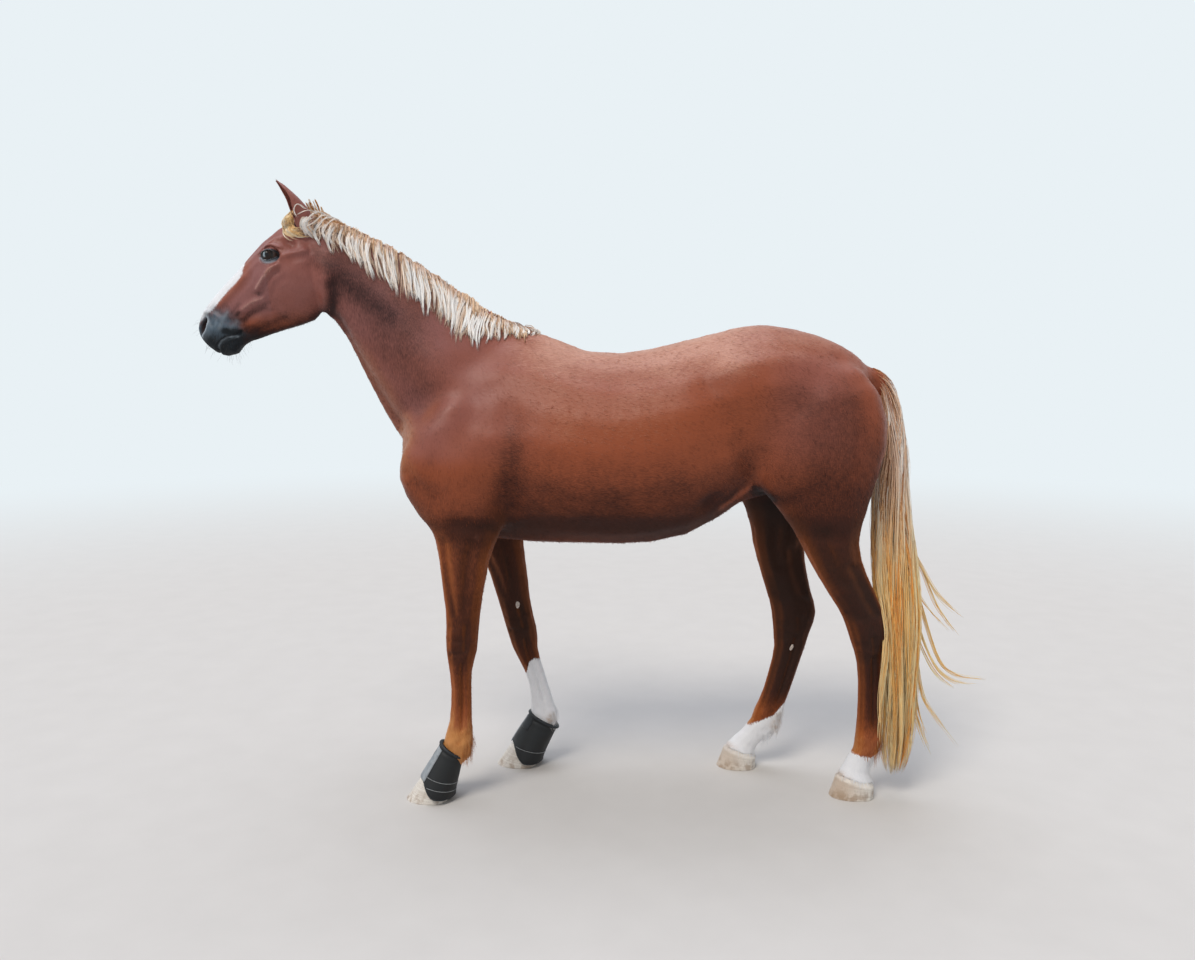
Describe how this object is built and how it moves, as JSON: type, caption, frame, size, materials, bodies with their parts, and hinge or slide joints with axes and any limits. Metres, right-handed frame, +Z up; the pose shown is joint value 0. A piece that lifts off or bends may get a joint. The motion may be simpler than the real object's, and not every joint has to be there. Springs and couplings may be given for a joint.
{
  "type": "horse",
  "caption": "Life-size standing riding horse with short smooth coat, loose mane, forelock and long tail, at a relaxed halt, rubber overreach boots on the fore hooves.",
  "frame": {"origin": "on the floor, below the middle of the model's bounding box", "axes": "+X from the head towards the tail, so the horse faces -X; +Y towards the horse's right side (the side away from the viewer); +Z up"},
  "size_m": [2.8622, 0.616, 2.199],
  "materials": {
    "coat": "short smooth chestnut hair, slightly glossy, over skin",
    "long_hair": "long flaxen hair in loose locks",
    "eye": "wet, dark brown, glossy",
    "horn": "pale hoof horn, satin, with faint rings",
    "boot_rubber": "matt black rubber with a pale grey closing panel"
  },
  "bodies": {
    "root": {"head": "coat", "neck": "coat", "trunk": "coat", "dock": "coat", "ear_near": "coat", "ear_far": "coat", "fore_leg_near": "coat", "fore_leg_far": "coat", "hind_leg_near": "coat", "hind_leg_far": "coat", "eye_near": "eye", "eye_far": "eye", "mane": "long_hair", "forelock": "long_hair", "tail": "long_hair", "fore_hoof_near": "horn", "fore_hoof_far": "horn", "hind_hoof_near": "horn", "hind_hoof_far": "horn", "boot_near": "boot_rubber", "boot_far": "boot_rubber"}
  },
  "joints": []
}
